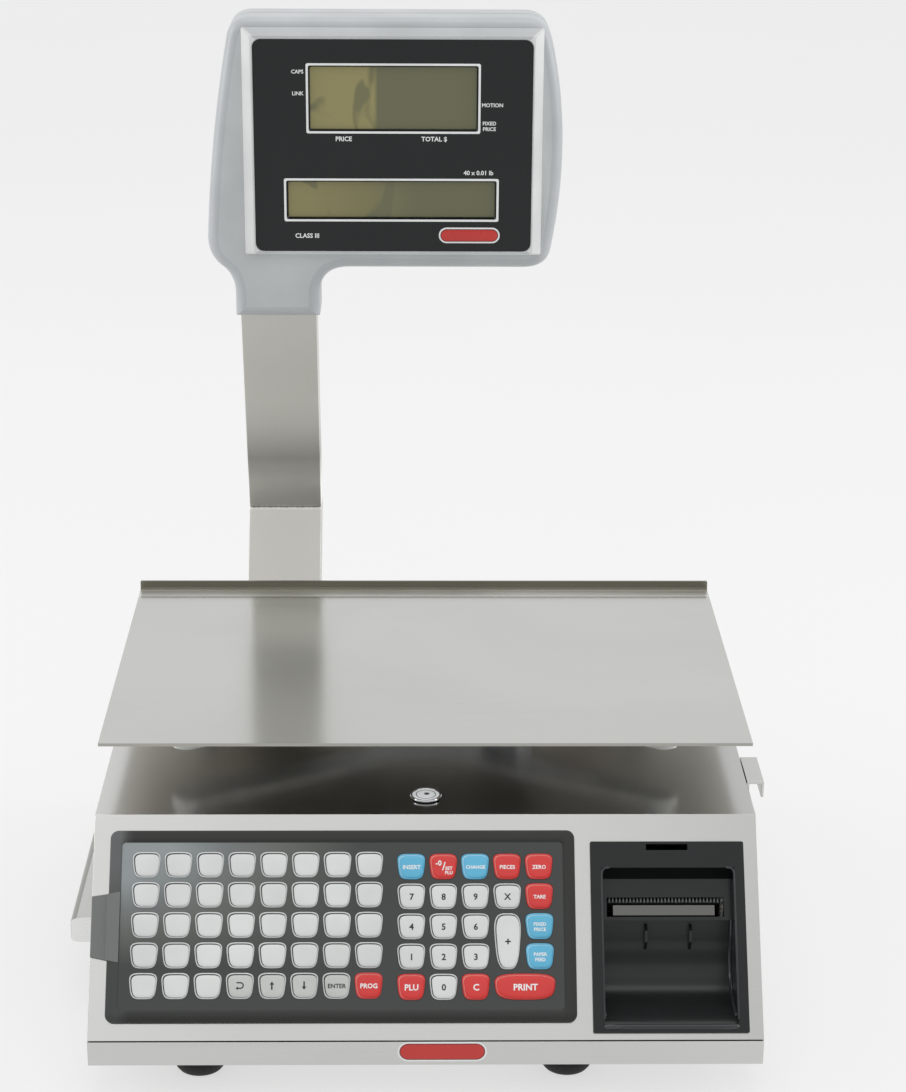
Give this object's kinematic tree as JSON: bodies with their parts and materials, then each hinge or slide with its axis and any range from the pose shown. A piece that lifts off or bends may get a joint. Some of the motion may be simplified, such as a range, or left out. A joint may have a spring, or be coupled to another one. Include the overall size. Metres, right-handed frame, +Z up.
{
  "type": "retail price scale",
  "caption": "Counter price scale with a lift-off steel platter, sloping keypad panel, pull-out label printer and a two-sided display on a bent pole.",
  "frame": {"origin": "centre of the scale's outline, on the surface its feet stand on", "axes": "+X to the operator's right, +Y towards the customer, +Z up"},
  "size_m": [0.4114, 0.4236, 0.5494],
  "materials": {
    "stainless_sheet": "satin brushed",
    "platter_steel": "satin",
    "bright_steel": "plain",
    "zinc_steel": "zinc plated",
    "cast_aluminium": "plain",
    "grey_plastic": "fine texture",
    "black_plastic": "satin",
    "gear_plastic": "plain",
    "keypad_film": "gloss film",
    "card": "matt",
    "circuit_board": "solder resist",
    "key_white": "gloss",
    "key_blue": "gloss",
    "key_red": "gloss",
    "face_black": "gloss",
    "lcd_glass": "gloss",
    "rubber": "matt",
    "paper": "matt",
    "vial": "clear"
  },
  "bodies": {
    "housing": {"base_tray": "stainless_sheet", "top_cover": "stainless_sheet", "load_cell": "cast_aluminium", "keypad_overlay": "keypad_film", "keypad_circuit": "circuit_board", "main_board": "circuit_board", "power_supply": "cast_aluminium", "power_inlet": "black_plastic", "display_pole": "stainless_sheet", "pole_bracket": "stainless_sheet", "display_front_shell": "grey_plastic", "display_rear_shell": "grey_plastic", "operator_faceplate": "face_black", "customer_faceplate": "face_black", "operator_lcd_module": "lcd_glass", "customer_lcd_module": "lcd_glass", "side_grip": "stainless_sheet", "side_tab": "stainless_sheet", "level_vial": "vial"},
    "spider": {"spider": "cast_aluminium"},
    "platter": {"platter": "platter_steel"},
    "label_card": {"label_card": "card"},
    "drawer": {"drawer_fascia": "black_plastic", "drawer_chassis": "zinc_steel", "tear_bar": "bright_steel", "peel_plate": "cast_aluminium", "feed_motor": "bright_steel"},
    "print_head": {"print_head": "cast_aluminium"},
    "platen": {"platen_roller": "rubber", "platen_gear": "gear_plastic"},
    "pinion": {"motor_pinion": "bright_steel"},
    "label_roll": {"label_roll": "paper"},
    "switch_rocker": {"power_switch_rocker": "black_plastic"},
    "foot_front_left": {"foot_front_left": "rubber"},
    "foot_front_right": {"foot_front_right": "rubber"},
    "foot_rear_left": {"foot_rear_left": "rubber"},
    "foot_rear_right": {"foot_rear_right": "rubber"},
    "key_7": {"key_7": "key_white"},
    "key_8": {"key_8": "key_white"},
    "key_9": {"key_9": "key_white"},
    "key_4": {"key_4": "key_white"},
    "key_5": {"key_5": "key_white"},
    "key_6": {"key_6": "key_white"},
    "key_1": {"key_1": "key_white"},
    "key_2": {"key_2": "key_white"},
    "key_3": {"key_3": "key_white"},
    "key_digit_0": {"key_digit_0": "key_white"},
    "key_times": {"key_times": "key_white"},
    "key_plus": {"key_plus": "key_white"},
    "key_clear": {"key_clear": "key_red"},
    "key_plu": {"key_plu": "key_red"},
    "key_print": {"key_print": "key_red"},
    "key_zero": {"key_zero": "key_red"},
    "key_tare": {"key_tare": "key_red"},
    "key_pieces": {"key_pieces": "key_red"},
    "key_change": {"key_change": "key_blue"},
    "key_minus": {"key_minus": "key_red"},
    "key_insert": {"key_insert": "key_blue"},
    "key_fixed_price": {"key_fixed_price": "key_blue"},
    "key_paper_feed": {"key_paper_feed": "key_blue"}
  },
  "joints": [
    {"name": "drawer_slide", "type": "slide", "parent": "housing", "child": "drawer", "axis": [0, -1, 0], "range_m": [0, 0.1]},
    {"name": "platter_lift", "type": "slide", "parent": "spider", "child": "platter", "axis": [0, 0, 1], "range_m": [0, 0.06]},
    {"name": "weigh_travel", "type": "slide", "parent": "housing", "child": "spider", "axis": [0, 0, -1], "range_m": [0, 0.0005], "stiffness_N_per_m": 400000, "springref_m": -0.00005},
    {"name": "card_slide", "type": "slide", "parent": "housing", "child": "label_card", "axis": [-1, 0, 0], "range_m": [0, 0.16]},
    {"name": "head_lift", "type": "hinge", "parent": "drawer", "child": "print_head", "pos_m": [0.1423, -0.11475, 0.104], "axis": [-1, 0, 0], "range_deg": [0, 25], "stiffness_Nm_per_rad": 0.4, "springref_deg": -17.19},
    {"name": "platen_turn", "type": "hinge", "parent": "drawer", "child": "platen", "pos_m": [0.1423, -0.13875, 0.084], "axis": [1, 0, 0], "continuous": true},
    {"name": "pinion_turn", "type": "hinge", "parent": "drawer", "child": "pinion", "pos_m": [0.1773, -0.13875, 0.06575], "axis": [1, 0, 0], "continuous": true},
    {"name": "roll_spin", "type": "hinge", "parent": "drawer", "child": "label_roll", "pos_m": [0.1433, -0.07675, 0.076], "axis": [1, 0, 0], "continuous": true},
    {"name": "rocker_tilt", "type": "hinge", "parent": "housing", "child": "switch_rocker", "pos_m": [0.1448, 0.15825, 0.063], "axis": [1, 0, 0], "range_deg": [0, 16]},
    {"name": "foot_front_left_turn", "type": "hinge", "parent": "housing", "child": "foot_front_left", "pos_m": [-0.1227, -0.17975, 0.01], "axis": [0, 0, 1], "range_deg": [-720, 720]},
    {"name": "foot_front_right_turn", "type": "hinge", "parent": "housing", "child": "foot_front_right", "pos_m": [0.0868, -0.17975, 0.01], "axis": [0, 0, 1], "range_deg": [-720, 720]},
    {"name": "foot_rear_left_turn", "type": "hinge", "parent": "housing", "child": "foot_rear_left", "pos_m": [-0.1227, 0.13125, 0.01], "axis": [0, 0, 1], "range_deg": [-720, 720]},
    {"name": "foot_rear_right_turn", "type": "hinge", "parent": "housing", "child": "foot_rear_right", "pos_m": [0.1353, 0.13125, 0.01], "axis": [0, 0, 1], "range_deg": [-720, 720]},
    {"name": "key_7_press", "type": "slide", "parent": "housing", "child": "key_7", "axis": [0, 0.8047, -0.5937], "range_m": [0, 0.0005], "stiffness_N_per_m": 2000, "springref_m": -0.0002},
    {"name": "key_8_press", "type": "slide", "parent": "housing", "child": "key_8", "axis": [0, 0.8047, -0.5937], "range_m": [0, 0.0005], "stiffness_N_per_m": 2000, "springref_m": -0.0002},
    {"name": "key_9_press", "type": "slide", "parent": "housing", "child": "key_9", "axis": [0, 0.8047, -0.5937], "range_m": [0, 0.0005], "stiffness_N_per_m": 2000, "springref_m": -0.0002},
    {"name": "key_4_press", "type": "slide", "parent": "housing", "child": "key_4", "axis": [0, 0.8047, -0.5937], "range_m": [0, 0.0005], "stiffness_N_per_m": 2000, "springref_m": -0.0002},
    {"name": "key_5_press", "type": "slide", "parent": "housing", "child": "key_5", "axis": [0, 0.8047, -0.5937], "range_m": [0, 0.0005], "stiffness_N_per_m": 2000, "springref_m": -0.0002},
    {"name": "key_6_press", "type": "slide", "parent": "housing", "child": "key_6", "axis": [0, 0.8047, -0.5937], "range_m": [0, 0.0005], "stiffness_N_per_m": 2000, "springref_m": -0.0002},
    {"name": "key_1_press", "type": "slide", "parent": "housing", "child": "key_1", "axis": [0, 0.8047, -0.5937], "range_m": [0, 0.0005], "stiffness_N_per_m": 2000, "springref_m": -0.0002},
    {"name": "key_2_press", "type": "slide", "parent": "housing", "child": "key_2", "axis": [0, 0.8047, -0.5937], "range_m": [0, 0.0005], "stiffness_N_per_m": 2000, "springref_m": -0.0002},
    {"name": "key_3_press", "type": "slide", "parent": "housing", "child": "key_3", "axis": [0, 0.8047, -0.5937], "range_m": [0, 0.0005], "stiffness_N_per_m": 2000, "springref_m": -0.0002},
    {"name": "key_digit_0_press", "type": "slide", "parent": "housing", "child": "key_digit_0", "axis": [0, 0.8047, -0.5937], "range_m": [0, 0.0005], "stiffness_N_per_m": 2000, "springref_m": -0.0002},
    {"name": "key_times_press", "type": "slide", "parent": "housing", "child": "key_times", "axis": [0, 0.8047, -0.5937], "range_m": [0, 0.0005], "stiffness_N_per_m": 2000, "springref_m": -0.0002},
    {"name": "key_plus_press", "type": "slide", "parent": "housing", "child": "key_plus", "axis": [0, 0.8047, -0.5937], "range_m": [0, 0.0005], "stiffness_N_per_m": 2000, "springref_m": -0.0002},
    {"name": "key_clear_press", "type": "slide", "parent": "housing", "child": "key_clear", "axis": [0, 0.8047, -0.5937], "range_m": [0, 0.0005], "stiffness_N_per_m": 2000, "springref_m": -0.0002},
    {"name": "key_plu_press", "type": "slide", "parent": "housing", "child": "key_plu", "axis": [0, 0.8047, -0.5937], "range_m": [0, 0.0005], "stiffness_N_per_m": 2000, "springref_m": -0.0002},
    {"name": "key_print_press", "type": "slide", "parent": "housing", "child": "key_print", "axis": [0, 0.8047, -0.5937], "range_m": [0, 0.0005], "stiffness_N_per_m": 2000, "springref_m": -0.0002},
    {"name": "key_zero_press", "type": "slide", "parent": "housing", "child": "key_zero", "axis": [0, 0.8047, -0.5937], "range_m": [0, 0.0005], "stiffness_N_per_m": 2000, "springref_m": -0.0002},
    {"name": "key_tare_press", "type": "slide", "parent": "housing", "child": "key_tare", "axis": [0, 0.8047, -0.5937], "range_m": [0, 0.0005], "stiffness_N_per_m": 2000, "springref_m": -0.0002},
    {"name": "key_pieces_press", "type": "slide", "parent": "housing", "child": "key_pieces", "axis": [0, 0.8047, -0.5937], "range_m": [0, 0.0005], "stiffness_N_per_m": 2000, "springref_m": -0.0002},
    {"name": "key_change_press", "type": "slide", "parent": "housing", "child": "key_change", "axis": [0, 0.8047, -0.5937], "range_m": [0, 0.0005], "stiffness_N_per_m": 2000, "springref_m": -0.0002},
    {"name": "key_minus_press", "type": "slide", "parent": "housing", "child": "key_minus", "axis": [0, 0.8047, -0.5937], "range_m": [0, 0.0005], "stiffness_N_per_m": 2000, "springref_m": -0.0002},
    {"name": "key_insert_press", "type": "slide", "parent": "housing", "child": "key_insert", "axis": [0, 0.8047, -0.5937], "range_m": [0, 0.0005], "stiffness_N_per_m": 2000, "springref_m": -0.0002},
    {"name": "key_fixed_price_press", "type": "slide", "parent": "housing", "child": "key_fixed_price", "axis": [0, 0.8047, -0.5937], "range_m": [0, 0.0005], "stiffness_N_per_m": 2000, "springref_m": -0.0002},
    {"name": "key_paper_feed_press", "type": "slide", "parent": "housing", "child": "key_paper_feed", "axis": [0, 0.8047, -0.5937], "range_m": [0, 0.0005], "stiffness_N_per_m": 2000, "springref_m": -0.0002}
  ],
  "couplings": [
    {"joint": "pinion_turn", "follows": "platen_turn", "ratio": -2}
  ]
}
